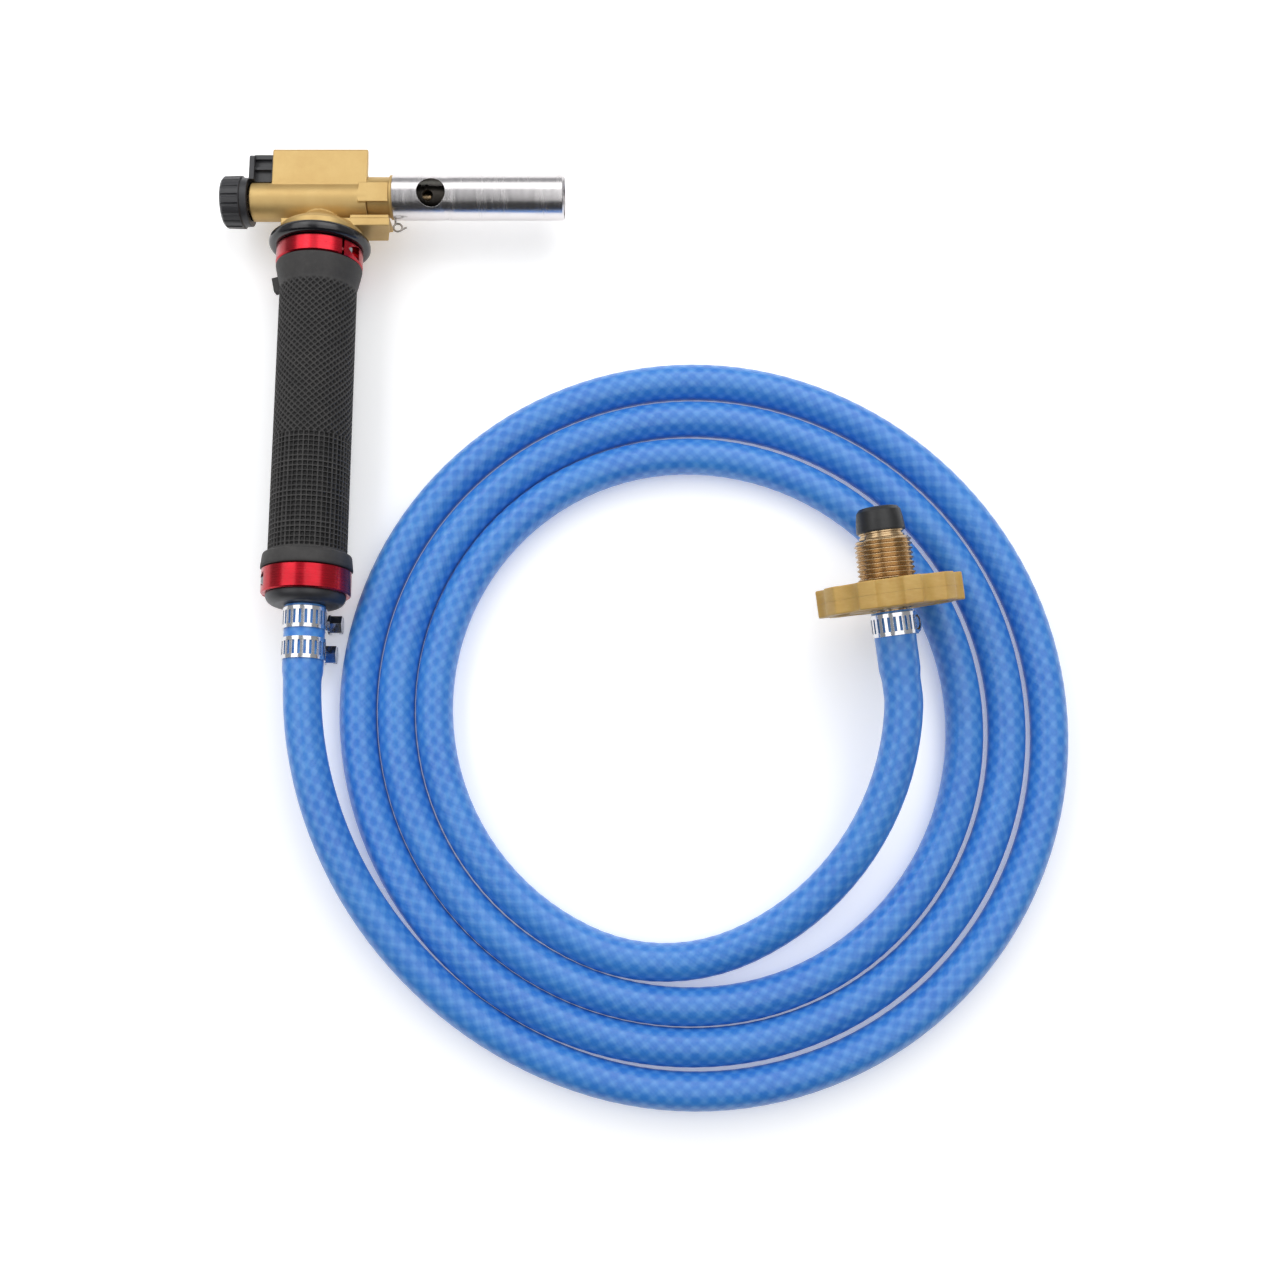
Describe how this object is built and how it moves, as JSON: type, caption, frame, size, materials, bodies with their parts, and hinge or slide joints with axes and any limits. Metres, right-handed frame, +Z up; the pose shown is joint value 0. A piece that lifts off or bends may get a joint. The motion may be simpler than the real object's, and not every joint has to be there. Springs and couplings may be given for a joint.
{
  "type": "gas torch kit",
  "caption": "Hand-held gas torch head on a lock-on grip handle with knob and push igniter, a coiled blue hose and a bottle coupling with hand wheel.",
  "frame": {"origin": "middle of the kit's plan outline, on the floor it lies on", "axes": "+X along the flame tube to its open end, +Y up the handle towards the torch head, +Z up from the floor"},
  "size_m": [0.3362, 0.379, 0.0642],
  "materials": {
    "gold_paint": "satin gold paint on a zinc casting",
    "brass": "turned",
    "stainless": "polished tube",
    "dark_steel": "heat-darkened",
    "steel": "bright plated",
    "spring_steel": "drawn wire",
    "ceramic": "white glazed",
    "lead_red": "insulated wire",
    "piezo_shell": "moulded",
    "black_plastic": "fine grained moulding",
    "gloss_black": "gloss",
    "red_anodised": "red anodised",
    "rubber": "matt",
    "inner_plastic": "moulded",
    "bar_alloy": "drawn tube",
    "blue_pvc": "semi-gloss braided hose",
    "wheel_plastic": "mustard moulding",
    "nose_rubber": "satin"
  },
  "bodies": {
    "torch": {"torch_body": "gold_paint", "burner_adapter": "gold_paint", "gas_jet": "brass", "burner_head": "dark_steel", "flame_tube": "stainless", "flame_swirler": "dark_steel", "earth_wire": "spring_steel", "electrode_insulator": "ceramic", "electrode_rod": "spring_steel", "ignition_lead": "lead_red", "piezo_unit": "piezo_shell", "piezo_spring": "spring_steel", "valve_seat": "brass", "gland_nut": "brass", "gland_oring": "nose_rubber", "guard_ring": "gloss_black", "collar_upper": "red_anodised", "collar_lower": "red_anodised", "collar_bolts": "steel", "grip_rubber": "rubber", "grip_sleeve": "inner_plastic", "grip_tab": "rubber", "handle_bar": "bar_alloy", "gas_pipe": "brass", "end_cap": "black_plastic", "hose_barb": "brass", "hose": "blue_pvc", "clamp_bands": "steel", "clamp_housings": "steel", "tail_nipple": "brass", "rubber_nose": "nose_rubber", "nut_circlip": "spring_steel"},
    "trigger": {"trigger_button": "black_plastic", "piezo_plunger": "piezo_shell"},
    "needle": {"valve_needle": "brass"},
    "knob": {"control_knob": "black_plastic", "knob_screw": "steel", "valve_spindle": "brass"},
    "coupling": {"hand_wheel": "wheel_plastic", "bottle_nut": "brass"},
    "screw_1": {"clamp_screw_1": "steel"},
    "screw_2": {"clamp_screw_2": "steel"},
    "screw_3": {"clamp_screw_3": "steel"}
  },
  "joints": [
    {"name": "trigger_push", "type": "slide", "parent": "torch", "child": "trigger", "axis": [1, 0, 0], "range_m": [0, 0.0055], "stiffness_N_per_m": 600, "springref_m": -0.002, "deforming": ["piezo_spring"]},
    {"name": "valve_lift", "type": "slide", "parent": "torch", "child": "needle", "axis": [-1, 0, 0], "range_m": [0, 0.0015]},
    {"name": "knob_turn", "type": "hinge", "parent": "needle", "child": "knob", "pos_m": [-0.16204, 0.1688, 0.02025], "axis": [-1, 0, 0], "range_deg": [0, 540]},
    {"name": "coupling_spin", "type": "hinge", "parent": "torch", "child": "coupling", "pos_m": [0.09539, 0.00135, 0.03619], "axis": [-0.1292, 0.9811, 0.1444], "continuous": true},
    {"name": "clamp_screw_1_turn", "type": "hinge", "parent": "torch", "child": "screw_1", "pos_m": [-0.12864, -0.00484, 0.0085], "axis": [1, 0, 0], "continuous": true},
    {"name": "clamp_screw_2_turn", "type": "hinge", "parent": "torch", "child": "screw_2", "pos_m": [-0.12864, -0.01678, 0.0085], "axis": [1, 0, 0], "continuous": true},
    {"name": "clamp_screw_3_turn", "type": "hinge", "parent": "torch", "child": "screw_3", "pos_m": [0.10367, -0.00737, 0.02529], "axis": [-0.8031, -0.0181, -0.5955], "continuous": true}
  ],
  "couplings": [
    {"joint": "knob_turn", "follows": "valve_lift", "rad_per_m": 6283.2}
  ]
}
